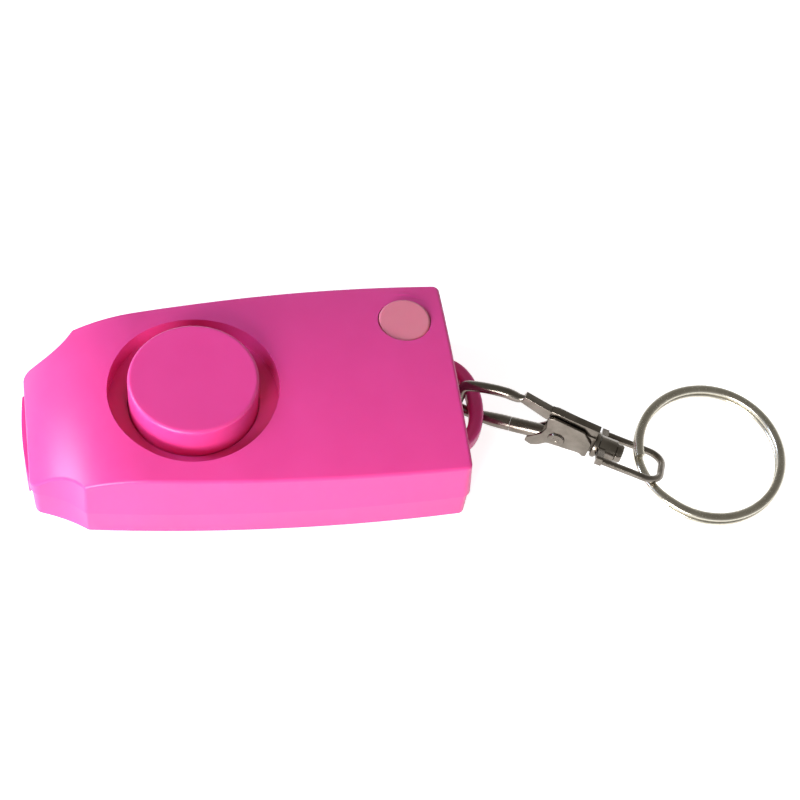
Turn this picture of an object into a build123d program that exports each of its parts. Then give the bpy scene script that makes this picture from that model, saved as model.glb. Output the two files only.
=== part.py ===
from build123d import *
import os
from math import asin, atan2, cos, degrees, hypot, pi, radians, sin, sqrt, tan

# Personal safety alarm: a pocket case with a big push button, a torch and a key clasp.
# Millimetres. Z is up, X runs along the case towards the clasp, and the origin lies on the
# case's underside, straight below the middle of the big button.

# Case outline, seen from above
tail_x = 50.1
shoulder_x = -21.5
tip_x = -31.4
tail_half_width = 21.6
shoulder_half_width = 18.2
tip_half_width = 13.0
flank_bulge = 1.7
tail_corner_radius = 1.8
shoulder_corner_radius = 1.2
tip_corner_radius = 2.4
least_corner_radius = 0.3
notch_depth_top = 1.7
notch_depth_parting = 1.0
notch_depth_base = 0.4

# Case heights, walls and drafts
crest_z = 19.6
parting_z = 7.5
wall = 1.8
draft_top = 0.6
draft_base = 0.3
parting_step = 0.35
crown_radius = 115.0
nose_start_x = -9.4
nose_radius = 30.0
nose_angle = 62.0
tail_fall_x = 10.0
tail_fall_radius = 690.0
top_edge_radius = 0.7
base_edge_radius = 0.8
overrun = 4.0

# Well round the big button
well_radius = 16.0
well_wall = 1.6
well_floor_top_z = 14.6
well_floor = 1.4
well_edge_radius = 0.4

# Big button, its plunger, spring and switch
panic_radius = 12.15
panic_proud = 2.6
panic_wall = 1.5
panic_roof = 1.8
panic_edge_radius = 0.7
panic_gap = 0.2
panic_travel = 1.2
panic_flange = 1.4
panic_flange_thick = 1.2
panic_flange_gap = 0.1
panic_stem_radius = 2.4
plunger_radius = 1.7
plunger_proud = 1.5
plunger_gap = 0.08
switch_side = 6.0
switch_height = 3.5
switch_floor = 0.6
spring_coil_radius = 6.0
spring_wire = 0.8
spring_turns = 5
spring_seat_gap = 0.1

# Small torch button and its switch
torch_x = 41.5
torch_y = 12.2
torch_radius = 5.0
torch_gap = 0.12
torch_proud = 0.15
torch_edge_radius = 0.5
torch_travel = 0.4
torch_flange = 0.9
torch_flange_thick = 0.9
torch_flange_gap = 0.1
torch_guide_gap = 0.15
torch_guide_wall = 1.0
torch_guide_depth = 2.6
torch_stem_radius = 1.6
torch_cap_thick = 3.0
small_switch_side = 4.5
small_switch_height = 1.8
small_switch_floor = 0.5
small_plunger_radius = 1.1
small_plunger_proud = 0.7

# Circuit board and what it carries
board_z = 8.9
board_thick = 1.0
board_tongue_x = -19.5
board_body_x = -15.0
board_tail_x = 28.5
board_end_x = 46.6
board_tongue_half = 8.2
board_body_half = 13.6
board_tail_half = 16.0
board_corner_radius = 0.8
post_radius = 2.2
post_pin_radius = 0.9
post_pin_gap = 0.1
post_pin_height = 1.5
post_nose_x = -12.6
post_nose_y = 11.2
post_tail_x = 45.0
post_tail_y = 13.9
chip_length = 5.0
chip_width = 4.0
chip_height = 1.5
chip_x = 26.0
chip_y = 7.0
coil_radius = 3.4
coil_flange = 0.7
coil_waist = 0.9
coil_height = 6.0
coil_x = 25.5
coil_y = -6.5

# Sounder on the floor of the case
sounder_radius = 13.5
sounder_disc = 0.3
ceramic_radius = 9.5
ceramic_thick = 0.25
sounder_gap = 0.15
sounder_seat_wall = 1.3
sounder_ledge = 1.0
sounder_lift = 1.4
sounder_rim_height = 0.9
grille_hole_radius = 0.75
grille_ring_radii = (4.0, 7.2)
grille_ring_counts = (8, 14)

# Coin cells under a coin-turned cap
cell_x = 33.0
cell_radius = 10.0
cell_thick = 3.2
cell_edge_radius = 0.4
cell_gap = 0.4
cell_lift = 1.9
cap_radius = 12.4
cap_flange = 2.0
cap_flange_thick = 0.8
cap_gap = 0.15
cap_depth = 2.7
cap_floor = 1.2
cap_lug = 1.2
cap_lug_thick = 0.8
cap_lug_span = 24.0
cap_lug_count = 3
cap_lug_play = 2.0
cap_turn = 35.0
cap_slot_length = 13.0
cap_slot_width = 2.0
cap_slot_depth = 0.7
holder_ring_height = 2.6
holder_outer = 15.0
contact_thick = 0.3
contact_seat_gap = 0.02
contact_plate_radius = 5.0
contact_hole_radius = 2.0
side_contact_width = 6.0
contact_gap = 0.1

# Torch at the nose
window_half_width = 8.6
window_low_z = 1.9
bezel_flange = 0.9
bezel_proud = 0.9
bezel_gap = 0.12
bezel_wall = 0.9
bezel_depth = 3.2
bezel_corner_radius = 1.2
lens_thick = 1.2
lens_recess = 0.5
led_radius = 1.5
led_length = 5.3
led_flange = 0.35
led_flange_thick = 0.8
led_count = 3
led_pitch = 5.0
led_lens_gap = 0.4
led_lead_side = 0.5
led_lead_pitch = 1.27
led_rail_thick = 1.4
led_rail_gap = 0.1

# Screws that hold the halves together
screw_nose_x = -20.5
screw_nose_y = 12.0
screw_tail_x = 24.0
screw_tail_y = 17.0
screw_boss_radius = 3.1
screw_post_radius = 2.5
screw_shank_radius = 0.8
screw_head_radius = 1.9
screw_head_height = 1.3
screw_length = 9.0
screw_recess = 2.6
screw_gap = 0.05
screw_slot_width = 0.5
boss_joint_gap = 0.2

# Ear on the tail wall
ear_reach = 6.1
ear_half_width = 10.4
ear_bar = 2.8
ear_thick = 3.4
ear_edge_radius = 0.8

# Key clasp: it hangs in the ear and slopes down to the ring
clasp_turn = -26.0
clasp_fall = 8.0
clasp_height = 8.05
ear_bar_share = 0.51
hook_radius = 1.05
hook_tip_radius = 1.35
hook_bend_s = -2.95
hook_back_t = 2.4
hook_low_t = -5.45
hook_crest_s = 4.2
hook_crest_t = 4.95
hook_root_s = 10.2
hook_root_t = 5.25
hook_tip_start_s = 1.4
hook_taper = 2.4
hook_tip_s = 7.35
hook_crest_radius = 7.0
hook_back_radius = 3.0
hook_low_radius = 2.8
seam_lean = 22.0
seam_gap = 0.15
spine_start_s = 9.2
spine_start_t = 6.35
spine_depth = 2.0
spine_end_t = 3.6
spine_width = 2.0
spine_step_s = 15.4
spine_step = 0.25
throat_s = 13.4
block_start_s = 19.4
block_low_t = -2.3
lug_radius = 1.8
collar_s = 24.3
collar_radius = 2.55
collar_thick = 1.1
post_radius_clasp = 1.1
post_head_radius = 1.85
post_head_thick = 1.4

# Spring lever that closes the hook
rivet_s = 17.35
rivet_t = -0.95
rivet_radius = 0.85
rivet_head_radius = 1.7
rivet_head_thick = 0.35
pivot_gap = 0.06
cheek_thick = 0.45
cheek_gap = 0.06
cheek_top_start = (15.0, 5.0)
cheek_top_end = (21.9, 3.9)
cheek_end_s = 23.95
cheek_end_t = 1.0
cheek_bump_s = 23.5
cheek_bump_t = -3.5
cheek_low_s = 14.8
cheek_low_t = -4.0
cheek_mouth_s = 14.0
thumb_end_s = 11.1
thumb_low_s = 12.6
thumb_low_t = -5.9
thumb_root_s = 12.2
thumb_root_t = -3.9
cheek_corner_radius = 0.6
nose_height = 2.5
nose_width = 2.4
nose_end_s = 15.6
nose_end_t = -2.3
nose_front_t = -4.95
nose_clear = 0.4
web_thick = 0.45
web_end_s = 23.0
lever_swing = 20.0
lever_spring_wire = 0.4
lever_spring_bend = 1.15
lever_spring_rise = 2.2
lever_spring_reach = 2.3
lever_spring_angle = -55.0
lever_pocket_depth = 0.65
lever_pocket_gap = 0.08

# Swivel eye
eye_half_width = 4.95
eye_wire = 1.4
eye_end_s = 38.4
eye_end_radius = 3.2
eye_base_thick = 1.3
eye_base_depth = 1.9
eye_base_lip = 0.1
eye_boss_radius = 2.2
eye_boss_length = 2.0
eye_side_gap = 0.1
eye_post_gap = 0.08
eye_roll = 65.0

# Split ring, lifted a little where it passes through the eye
ring_outer_radius = 15.0
ring_band = 1.8
ring_wire_height = 1.0
ring_pitch = 1.45
ring_corner_radius = 0.4
ring_jog_span = 46.0
ring_jog_start = 176.0
ring_turn = 3.5
ring_cross_s = 34.2
ring_cross_t = 0.02
ring_tilt = 5.0


def arc_point(radius, angle, z=0.0):
    """Point on a level circle about the Z axis; the angle is in degrees."""
    return Vector(radius * cos(radians(angle)), radius * sin(radians(angle)), z)


def tube(outer, inner, low, high):
    """Upright tube between two heights."""
    body = Cylinder(outer, high - low, align=(Align.CENTER, Align.CENTER, Align.MIN))
    bore = Cylinder(inner, high - low, align=(Align.CENTER, Align.CENTER, Align.MIN))
    return Pos(0, 0, low) * (body - bore)


def rod(radius, low, high):
    """Upright solid cylinder between two heights."""
    return Pos(0, 0, low) * Cylinder(radius, high - low, align=(Align.CENTER, Align.CENTER, Align.MIN))


def block(x_low, x_high, y_low, y_high, z_low, z_high):
    """Box between three pairs of limits."""
    size = (x_high - x_low, y_high - y_low, z_high - z_low)
    return Pos(x_low, y_low, z_low) * Box(*size, align=(Align.MIN, Align.MIN, Align.MIN))


# Case shape


def drawn_in(x, y, inset, way, next_way):
    """Corner between two sides of the case that head two ways, drawn in by an inset."""
    share = inset / (1 + cos(way - next_way))
    return (x + share * (sin(way) + sin(next_way)), y - share * (cos(way) + cos(next_way)))


def case_outline(inset, notch_depth):
    """Plan of the case drawn in by an inset, with hollow cheeks between shoulder and tip."""
    long = tail_x - shoulder_x
    flank_slope = (tail_half_width - shoulder_half_width) / long
    end_slope = 4 * flank_bulge / long
    flank_way = atan2(flank_slope, 1)
    tail_way = atan2(flank_slope - end_slope, 1)
    shoulder_way = atan2(flank_slope + end_slope, 1)
    cheek_way = atan2(shoulder_half_width - tip_half_width, shoulder_x - tip_x)
    flank_x = (tail_x + shoulder_x) / 2
    flank_y = (tail_half_width + shoulder_half_width) / 2 + flank_bulge
    notch_x = (tip_x + shoulder_x) / 2 + notch_depth * sin(cheek_way)
    notch_y = (tip_half_width + shoulder_half_width) / 2 - notch_depth * cos(cheek_way)
    tail = drawn_in(tail_x, tail_half_width, inset, -pi / 2, tail_way)
    flank = drawn_in(flank_x, flank_y, inset, flank_way, flank_way)
    shoulder = drawn_in(shoulder_x, shoulder_half_width, inset, shoulder_way, cheek_way)
    notch = drawn_in(notch_x, notch_y, inset, cheek_way, cheek_way)
    tip = drawn_in(tip_x, tip_half_width, inset, cheek_way, pi / 2)
    half = Curve() + [
        Line((tail[0], 0), tail),
        ThreePointArc(tail, flank, shoulder),
        ThreePointArc(shoulder, notch, tip),
        Line(tip, (tip[0], 0)),
    ]
    plan = make_face(half + mirror(half, Plane.XZ))
    corners = ((tail, tail_corner_radius), (shoulder, shoulder_corner_radius), (tip, tip_corner_radius))
    for corner, radius in corners:
        near = plan.vertices().filter_by(
            lambda v: hypot(v.X - corner[0], abs(v.Y) - corner[1]) < least_corner_radius / 2
        )
        plan = fillet(near, max(radius - inset, least_corner_radius))
    return plan


def case_prism(low, low_inset, low_notch, high, high_inset, high_notch):
    """Solid between two level outlines of the case."""
    low_plan = Pos(0, 0, low) * case_outline(low_inset, low_notch)
    high_plan = Pos(0, 0, high) * case_outline(high_inset, high_notch)
    return loft([low_plan.face(), high_plan.face()], ruled=True)


def crest_path(depth):
    """Side view of the crest line, sunk by a depth: nose curve, flat, then a slight fall."""
    top = crest_z - depth
    nose = nose_radius - depth
    fall = tail_fall_radius - depth
    fall_angle = degrees(asin((tail_x + overrun - tail_fall_x) / fall))
    nose_centre = Vector(nose_start_x, 0, top - nose)
    fall_centre = Vector(tail_fall_x, 0, top - fall)

    def nose_point(angle):
        return nose_centre + Vector(-nose * sin(radians(angle)), 0, nose * cos(radians(angle)))

    def fall_point(angle):
        return fall_centre + Vector(fall * sin(radians(angle)), 0, fall * cos(radians(angle)))

    return Wire(
        [
            ThreePointArc(nose_point(nose_angle), nose_point(nose_angle / 2), nose_point(0)).edge(),
            Line(nose_point(0), fall_point(0)).edge(),
            ThreePointArc(fall_point(0), fall_point(fall_angle / 2), fall_point(fall_angle)).edge(),
        ]
    )


def above_crown(depth):
    """Everything above the crowned top face when that face is sunk by a depth."""
    path = crest_path(depth)
    radius = crown_radius - depth
    half = tail_half_width + flank_bulge + overrun
    drop = radius - sqrt(radius**2 - half**2)
    roof = crest_z
    start = Plane(origin=path @ 0, x_dir=(0, 1, 0), z_dir=path % 0)
    outline = Curve() + [
        ThreePointArc((-half, -drop), (0, 0), (half, -drop)),
        Line((half, -drop), (half, roof)),
        Line((half, roof), (-half, roof)),
        Line((-half, roof), (-half, -drop)),
    ]
    section = start * make_face(outline)
    return sweep(section, path=path)


def crown_drop(y):
    """How far the crowned top lies under its crest line at a distance y from it."""
    return crown_radius - sqrt(crown_radius**2 - y**2)


def top_height(x, y):
    """Height of the crowned top face over a point of the plan, tail side of the nose curve."""
    fall = 0.0
    if x > tail_fall_x:
        fall = tail_fall_radius - sqrt(tail_fall_radius**2 - (x - tail_fall_x) ** 2)
    return crest_z - fall - crown_drop(y)


def screw_places():
    """The four screws, seen from above."""
    return [
        (screw_nose_x, screw_nose_y),
        (screw_nose_x, -screw_nose_y),
        (screw_tail_x, screw_tail_y),
        (screw_tail_x, -screw_tail_y),
    ]


def board_posts():
    """The four posts that carry the board."""
    return [
        (post_nose_x, post_nose_y),
        (post_nose_x, -post_nose_y),
        (post_tail_x, post_tail_y),
        (post_tail_x, -post_tail_y),
    ]


def case_top():
    """Upper shell with the button well, the torch button's hole and the screw posts."""
    high = crest_z + overrun
    high_draft = draft_top * (high - parting_z) / (crest_z - parting_z)
    outer = case_prism(parting_z, 0, notch_depth_parting, high, high_draft, notch_depth_top)
    outer -= above_crown(0)
    rim = outer.edges().filter_by(lambda e: e.center().Z > parting_z + wall and abs(e.tangent_at(0.5).Z) < 0.8)
    rim = rim.filter_by(
        lambda e: abs(e.center().Y) > wall or not tip_x + overrun < e.center().X < tail_x - overrun
    )
    outer = fillet(rim, top_edge_radius)
    low = parting_z - overrun
    cavity = case_prism(low, wall, notch_depth_parting, high, wall + high_draft, notch_depth_top)
    cavity -= above_crown(wall)
    sky = above_crown(0)
    shell = outer - cavity
    guide_low = top_height(torch_x, torch_y) - wall - torch_guide_depth
    guide_inner = torch_radius + torch_flange + torch_guide_gap
    guide = tube(guide_inner + torch_guide_wall, guide_inner, guide_low, top_height(torch_x, torch_y) - wall / 2)
    shell += Pos(torch_x, torch_y, 0) * guide
    shell -= Pos(torch_x, torch_y, 0) * rod(torch_radius + torch_gap, guide_low, high)
    well = rod(well_radius + well_wall, well_floor_top_z - well_floor, high) - sky
    shell += well
    for x, y in screw_places():
        post = Pos(x, y, 0) * rod(screw_post_radius, parting_z + boss_joint_gap / 2, high) - sky
        shell += post
    shell -= rod(well_radius, well_floor_top_z, high)
    shell -= rod(panic_radius + panic_gap, 0, high)
    tip = screw_recess + screw_head_height + screw_length + wall / 2
    for x, y in screw_places():
        shell -= Pos(x, y, 0) * rod(screw_shank_radius + screw_gap, 0, tip)
    return shell


def ear_profile(reach, half_width):
    """Half-oval that stands out from the tail wall, seen from above."""
    oval = Ellipse(reach, half_width)
    keep = Pos(reach / 2, 0) * Rectangle(reach, 2 * half_width)
    return Pos(tail_x - parting_step, 0) * (oval & keep)


def ear():
    """Moulded ear for the clasp: a half-oval plate with a half-oval hole."""
    plate = extrude(ear_profile(ear_reach, ear_half_width), amount=ear_thick)
    hole = extrude(ear_profile(ear_reach - ear_bar, ear_half_width - ear_bar), amount=ear_thick)
    plate -= hole
    wall_x = tail_x - parting_step
    plate += block(wall_x - wall * 0.6, wall_x, -ear_half_width, ear_half_width, 0, ear_thick)
    arcs = plate.edges().filter_by(
        lambda e: abs(e.tangent_at(0.5).Z) < 0.5 and e.center().X > tail_x + ear_bar / 4
    )
    plate = fillet(arcs, ear_edge_radius)
    return Pos(0, 0, parting_z - ear_thick) * plate


def cap_seat_cuts():
    """Recess, hole and lug notches for the battery cap."""
    cuts = rod(cap_radius + cap_flange + cap_gap, -overrun, cap_flange_thick + cap_gap)
    cuts += rod(cap_radius + cap_gap, -overrun, cap_depth)
    sector = lug_sector(cap_radius + cap_lug + cap_gap, cap_lug_span + cap_lug_play, -overrun, wall + cap_gap)
    for i in range(cap_lug_count):
        cuts += Rot(0, 0, cap_turn + i * 360 / cap_lug_count) * sector
    return Pos(cell_x, 0, 0) * cuts


def lug_sector(radius, span, low, high):
    """Slice of a disc about the X axis, used for the cap's lugs and their notches."""
    half = radians(span / 2)
    reach = radius / cos(half)
    wedge = make_face(
        Polyline((0, 0), (reach * cos(half), -reach * sin(half)), (reach * cos(half), reach * sin(half)), (0, 0))
    )
    slab = Pos(0, 0, low) * extrude(wedge, amount=high - low)
    return slab & rod(radius, low, high)


def case_bottom():
    """Lower shell with the ear, the battery ring, the sounder seat, posts and bosses."""
    step = parting_step
    outer = case_prism(0, step + draft_base, notch_depth_base, parting_z, step, notch_depth_parting)
    rim = outer.edges().filter_by(lambda e: e.center().Z < wall / 2)
    outer = fillet(rim, base_edge_radius)
    cavity = case_prism(
        wall, step + wall, notch_depth_base, parting_z + overrun, step + wall, notch_depth_parting
    )
    shell = outer - cavity
    shell += ear()
    for x, y in screw_places():
        shell += Pos(x, y, 0) * rod(screw_boss_radius, wall / 2, parting_z - boss_joint_gap / 2)
    for x, y in board_posts():
        shell += Pos(x, y, 0) * rod(post_radius, wall / 2, board_z)
        shell += Pos(x, y, 0) * rod(post_pin_radius, board_z, board_z + post_pin_height)
    seat_inner = sounder_radius + sounder_gap
    seat_top = wall + sounder_lift
    shell += tube(seat_inner + sounder_seat_wall, sounder_radius - sounder_ledge, wall / 2, seat_top)
    shell += tube(seat_inner + sounder_seat_wall, seat_inner, seat_top, seat_top + sounder_rim_height)
    ring_low = cap_depth + cap_gap
    ring = tube(holder_outer, cell_radius + cell_gap, ring_low, ring_low + holder_ring_height)
    ring += tube(holder_outer, cap_radius + cap_lug + 2 * cap_gap, wall / 2, ring_low)
    shell += Pos(cell_x, 0, 0) * ring
    shell += led_rail()
    shell -= cap_seat_cuts()
    for x, y in screw_places():
        shell -= Pos(x, y, 0) * rod(screw_shank_radius + screw_gap, -overrun, parting_z)
        shell -= Pos(x, y, 0) * rod(screw_head_radius + screw_gap * 4, -overrun, screw_recess + screw_head_height)
    for ring_radius, count in zip(grille_ring_radii, grille_ring_counts):
        for i in range(count):
            spot = arc_point(ring_radius, i * 360 / count)
            shell -= Pos(spot.X, spot.Y, 0) * rod(grille_hole_radius, -overrun, wall + overrun)
    shell -= block(
        tip_x - overrun, tip_x + wall + overrun / 2,
        -window_half_width, window_half_width, window_low_z, parting_z + overrun,
    )
    return shell


def led_centre_z():
    """Height of the torch's LEDs: the middle of the nose window."""
    return (window_low_z + parting_z) / 2


def led_places():
    """Distances of the LEDs from the middle of the nose."""
    return [(i - (led_count - 1) / 2) * led_pitch for i in range(led_count)]


def led_lens_x():
    """Front of the LEDs, just behind the lens."""
    return tip_x - bezel_proud + lens_recess + lens_thick + led_lens_gap


def led_rail():
    """Rail on the floor with a round seat under each LED."""
    x_low = led_lens_x() + led_length / 2
    half = (led_count - 1) / 2 * led_pitch + led_radius + led_rail_thick
    rail = block(x_low, x_low + led_rail_thick, -half, half, wall / 2, led_centre_z())
    for y in led_places():
        seat = Rot(0, 90, 0) * rod(led_radius + led_rail_gap, -overrun, overrun)
        rail -= Pos(x_low, y, led_centre_z()) * seat
    return rail


# Big button


def panic_top_z():
    """Height of the big button's flat top."""
    return crest_z + panic_proud


def board_top_z():
    """Upper face of the circuit board."""
    return board_z + board_thick


def panic_flange_top():
    """Top of the flange that keeps the button in the case."""
    return well_floor_top_z - well_floor - panic_flange_gap


def panic_button():
    """Hollow cap with a flange under the well floor and a stem down to the switch."""
    top = panic_top_z()
    flange_top = panic_flange_top()
    low = flange_top - panic_flange_thick
    inner = panic_radius - panic_wall
    stem_low = board_top_z() + switch_height + plunger_proud
    profile = make_face(
        Polyline(
            (0, stem_low), (panic_stem_radius, stem_low), (panic_stem_radius, top - panic_roof),
            (inner, top - panic_roof), (inner, low), (panic_radius + panic_flange, low),
            (panic_radius + panic_flange, flange_top), (panic_radius, flange_top),
            (panic_radius, top), (0, top), (0, stem_low),
        )
    )
    corner = profile.vertices().sort_by(Axis.Y)[-2:].sort_by(Axis.X)[-1]
    profile = fillet(corner, panic_edge_radius)
    return revolve(Plane.XZ * profile, Axis.Z)


def switch_housing(side, height, floor, radius):
    """Square switch body with a bore for its plunger."""
    low = board_top_z()
    body = block(-side / 2, side / 2, -side / 2, side / 2, low, low + height)
    return body - rod(radius + plunger_gap, low + floor, low + height)


def plunger(radius, height, proud, travel):
    """Round switch plunger that stands out of its housing."""
    top = board_top_z() + height + proud
    return rod(radius, top - proud - travel, top)


def helix_wire(mean_radius, pitch, turns, low):
    """Coil centre line made of two tangent arcs for each half turn."""
    climb = atan2(pitch, 2 * pi * mean_radius)
    quarter = pitch / 4
    # Radius at which the two arcs of a half turn meet without a kink
    linear = tan(climb) * quarter
    middle = -linear + sqrt(linear**2 + mean_radius**2 + quarter**2)
    edges = []
    for i in range(2 * turns):
        turn = Rot(0, 0, 180 * i)
        z = low + pitch / 2 * i
        start = Vector(mean_radius, 0, 0)
        centre = Vector(0, middle, quarter)
        end = Vector(-mean_radius, 0, 2 * quarter)
        lead = Vector(0, cos(climb), sin(climb))
        first = Edge.make_tangent_arc(start, lead, centre)
        second = Edge.make_tangent_arc(centre, first % 1, end)
        edges += [Pos(0, 0, z) * turn * first, Pos(0, 0, z) * turn * second]
    return Wire(edges)


def panic_spring():
    """Return coil between the board and the roof of the big button."""
    low = board_top_z() + spring_wire / 2 + spring_seat_gap
    high = panic_top_z() - panic_roof - spring_wire / 2 - spring_seat_gap
    path = helix_wire(spring_coil_radius, (high - low) / spring_turns, spring_turns, low)
    section = Plane(origin=path @ 0, z_dir=path % 0) * Circle(spring_wire / 2)
    return sweep(section, path=path)


# Torch button


def torch_button():
    """Small domed button with a flange under the case top and a stem to its switch."""
    face = top_height(torch_x, torch_y)
    top = face + torch_proud
    reach = torch_radius + torch_flange
    flange_top = top_height(torch_x + reach, torch_y + reach) - wall - torch_flange_gap
    low = flange_top - torch_flange_thick
    stem_low = board_top_z() + small_switch_height + small_plunger_proud
    cap = rod(torch_radius, flange_top, top)
    cap = fillet(cap.edges().sort_by(Axis.Z)[-1], torch_edge_radius)
    cap += rod(torch_radius + torch_flange, low, flange_top)
    cap += rod(torch_stem_radius, stem_low, low)
    return Pos(torch_x, torch_y, 0) * cap


# Board


def circuit_board():
    """Board in three widths, holed for the posts."""
    plan = block(board_tongue_x, board_body_x, -board_tongue_half, board_tongue_half, board_z, board_top_z())
    plan += block(board_body_x, board_tail_x, -board_body_half, board_body_half, board_z, board_top_z())
    plan += block(board_tail_x, board_end_x, -board_tail_half, board_tail_half, board_z, board_top_z())
    upright = plan.edges().filter_by(Axis.Z).filter_by(
        lambda e: abs(e.center().X - board_end_x) < wall or abs(e.center().X - board_tongue_x) < wall
    )
    plan = fillet(upright, board_corner_radius)
    for x, y in board_posts():
        plan -= Pos(x, y, 0) * rod(post_pin_radius + post_pin_gap, 0, crest_z)
    return plan


def controller_chip():
    """Small outline chip that drives the siren."""
    low = board_top_z()
    return Pos(chip_x, chip_y, low + chip_height / 2) * Box(chip_length, chip_width, chip_height)


def boost_coil():
    """Drum-shaped coil that raises the siren's voltage."""
    low = board_top_z()
    high = low + coil_height
    drum = rod(coil_radius, low, low + coil_flange) + rod(coil_radius, high - coil_flange, high)
    drum += rod(coil_radius - coil_waist, low, high)
    return Pos(coil_x, coil_y, 0) * drum


# Sounder


def sounder_disc_plate():
    """Brass disc of the piezo sounder on its ring seat."""
    low = wall + sounder_lift
    return rod(sounder_radius, low, low + sounder_disc)


def sounder_ceramic():
    """Piezo ceramic bonded on the disc."""
    low = wall + sounder_lift + sounder_disc
    return rod(ceramic_radius, low, low + ceramic_thick)


# Batteries


def coin_cell(index):
    """One coin cell of the stack, counted from the cap."""
    low = cell_lift + index * cell_thick
    cell = rod(cell_radius, low, low + cell_thick)
    cell = fillet(cell.edges(), cell_edge_radius)
    return Pos(cell_x, 0, 0) * cell


def battery_cap():
    """Bayonet cap with a flange, three lugs and a coin slot."""
    cap = rod(cap_radius + cap_flange, 0, cap_flange_thick)
    cap += rod(cap_radius, cap_flange_thick, cap_depth)
    lug_low = cap_depth - cap_lug_thick
    lug = lug_sector(cap_radius + cap_lug, cap_lug_span, lug_low, cap_depth)
    for i in range(cap_lug_count):
        cap += Rot(0, 0, i * 360 / cap_lug_count) * lug
    cap -= rod(cell_radius + cell_gap, cap_floor, cap_depth)
    cap -= block(
        -cap_slot_length / 2, cap_slot_length / 2, -cap_slot_width / 2, cap_slot_width / 2,
        -overrun, cap_slot_depth,
    )
    return Pos(cell_x, 0, 0) * cap


def battery_contact_spring():
    """Dished contact plate under the board that presses on the upper cell."""
    high = board_z
    drop = cell_lift + 2 * cell_thick + contact_seat_gap
    profile = make_face(
        Polyline(
            (contact_hole_radius, drop), (contact_plate_radius, high - contact_thick),
            (contact_plate_radius, high), (contact_hole_radius, drop + contact_thick),
            (contact_hole_radius, drop),
        )
    )
    return Pos(cell_x, 0, 0) * revolve(Plane.XZ * profile, Axis.Z)


def battery_contact_side():
    """Upright contact strip beside the cells."""
    low = cap_depth + cap_gap + holder_ring_height + contact_gap
    x = cell_x - cell_radius - contact_gap
    half = side_contact_width / 2
    return block(x - contact_thick, x, -half, half, low, board_z)


# Torch


def bezel_block(half_width, low, high, x_low, x_high, corner):
    """Upright plate across the nose with rounded corners."""
    plan = RectangleRounded(2 * half_width, high - low, corner)
    plate = extrude(Plane(origin=(x_low, 0, (low + high) / 2), x_dir=(0, 1, 0), z_dir=(1, 0, 0)) * plan,
                    amount=x_high - x_low)
    return plate


def bezel_limits(grow):
    """Half width, lower and upper limit of the window sleeve, grown outwards."""
    half = window_half_width - bezel_gap + grow
    return half, window_low_z + bezel_gap - grow, parting_z - bezel_gap + grow


def torch_bezel():
    """Pink frame that stands proud of the nose and lines the window."""
    x_front = tip_x - bezel_proud
    half, low, high = bezel_limits(bezel_flange)
    frame = bezel_block(half, low, high, x_front, tip_x - bezel_gap / 4, bezel_corner_radius)
    front = frame.edges().group_by(Axis.X)[0]
    frame = fillet(front, bezel_corner_radius / 3)
    half, low, high = bezel_limits(0)
    frame += bezel_block(half, low, high, x_front + bezel_proud / 2, tip_x + bezel_depth, bezel_wall)
    half, low, high = bezel_limits(-bezel_wall)
    return frame - bezel_block(half, low, high, x_front - overrun, tip_x + bezel_depth, bezel_wall / 2)


def torch_lens():
    """Clear window in the bezel."""
    x_front = tip_x - bezel_proud + lens_recess
    half, low, high = bezel_limits(-bezel_wall - bezel_gap / 2)
    return bezel_block(half, low, high, x_front, x_front + lens_thick, bezel_wall / 3)


def torch_led(y):
    """Round LED with its flange and two bent leads up to the board."""
    front = led_lens_x()
    back = front + led_length
    z = led_centre_z()
    body = rod(led_radius, led_radius, led_length) + Pos(0, 0, led_radius) * Sphere(led_radius)
    body += rod(led_radius + led_flange, led_length - led_flange_thick, led_length)
    led = Pos(front, y, z) * Rot(0, 90, 0) * body
    side = led_lead_side / 2
    lead_x = board_tongue_x + wall
    for sign in (-1, 1):
        lead_y = y + sign * led_lead_pitch
        led += block(back - side, lead_x + side, lead_y - side, lead_y + side, z - side, z + side)
        led += block(lead_x - side, lead_x + side, lead_y - side, lead_y + side, z - side, board_z)
    return led


# Screws


def case_screws():
    """Four self-tapping screws, driven from below."""
    head_low = screw_recess
    head_high = head_low + screw_head_height
    screw = rod(screw_head_radius, head_low, head_high) + rod(screw_shank_radius, head_low, head_high + screw_length)
    for angle in (0, 90):
        slot = Pos(0, 0, head_low) * Box(3 * screw_shank_radius, screw_slot_width, screw_head_height)
        screw -= Rot(0, 0, angle) * slot
    return [Pos(x, y, 0) * screw for x, y in screw_places()]


# Clasp


def clasp_frame():
    """Plane of the clasp: its X runs along the clasp, its Y up, its Z to the thumb side."""
    turn = radians(clasp_turn)
    fall = radians(clasp_fall)
    along = Vector(cos(turn) * cos(fall), sin(turn) * cos(fall), -sin(fall))
    side = Vector(sin(turn), -cos(turn), 0)
    bar_x = tail_x - parting_step + ear_reach - ear_bar * ear_bar_share
    return Plane(origin=(bar_x, 0, clasp_height), x_dir=along, z_dir=side)


def slab(points, half_width):
    """Outline in the clasp's plane, given thickness to both sides."""
    return extrude(make_face(Polyline(*points, close=True)), amount=half_width, both=True)


def along_axis(radius, start, end):
    """Cylinder on the clasp's long axis."""
    return Pos(start, 0, 0) * Rot(0, 90, 0) * rod(radius, 0, end - start)


def across_axis(radius, s, t, half_width):
    """Cylinder square to the clasp's plane."""
    return Pos(s, t, 0) * rod(radius, -half_width, half_width)


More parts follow.
